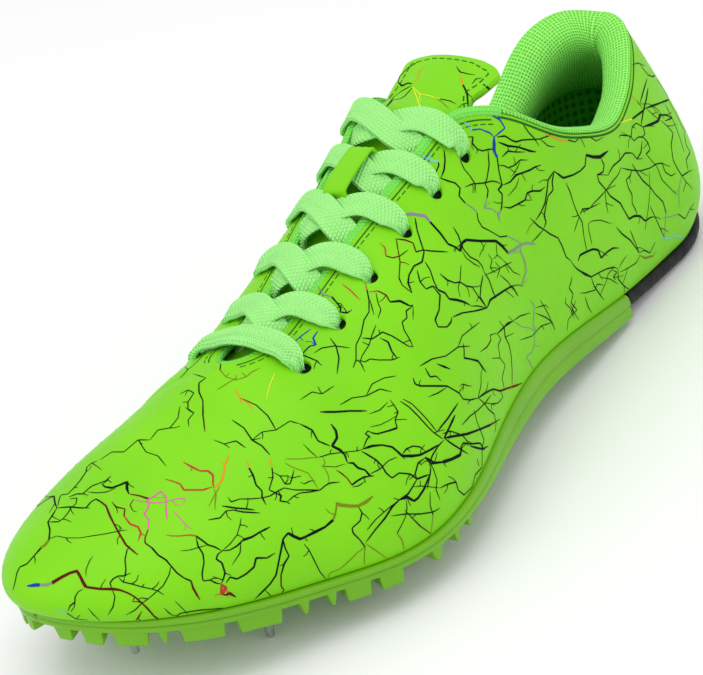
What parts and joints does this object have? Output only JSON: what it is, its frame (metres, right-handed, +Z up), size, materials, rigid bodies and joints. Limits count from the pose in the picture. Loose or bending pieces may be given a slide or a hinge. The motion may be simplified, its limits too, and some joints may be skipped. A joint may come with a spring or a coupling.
{
  "type": "track spike shoe",
  "caption": "Low lace-up track spike shoe for the left foot, with a hollow coated upper, padded collar, stud plate, heel piece and metal pins.",
  "frame": {"origin": "middle of the heel piece's flat on the floor", "axes": "+X to the toe, +Y to the outer side of the foot, +Z up"},
  "size_m": [0.2817, 0.0905, 0.0939],
  "materials": {
    "upper": "smooth coated synthetic leather with a printed crackle",
    "lining": "knitted mesh",
    "footbed": "matte textile",
    "plate": "semi-gloss moulded",
    "heel": "matte rubber",
    "lace": "flat woven",
    "pins": "turned steel"
  },
  "bodies": {
    "root": {"upper": "upper", "collar_pad": "lining", "throat_binding": "lining", "tongue": "upper", "tongue_keeper": "upper", "insole": "footbed", "outsole_plate": "plate", "heel_outsole": "heel", "lace_bar": "lace", "lace_cross_1": "lace", "lace_cross_2": "lace", "lace_cross_3": "lace", "lace_cross_4": "lace", "lace_cross_5": "lace", "pin_1": "pins", "pin_2": "pins", "pin_3": "pins", "pin_4": "pins", "pin_5": "pins", "pin_6": "pins"}
  },
  "joints": []
}
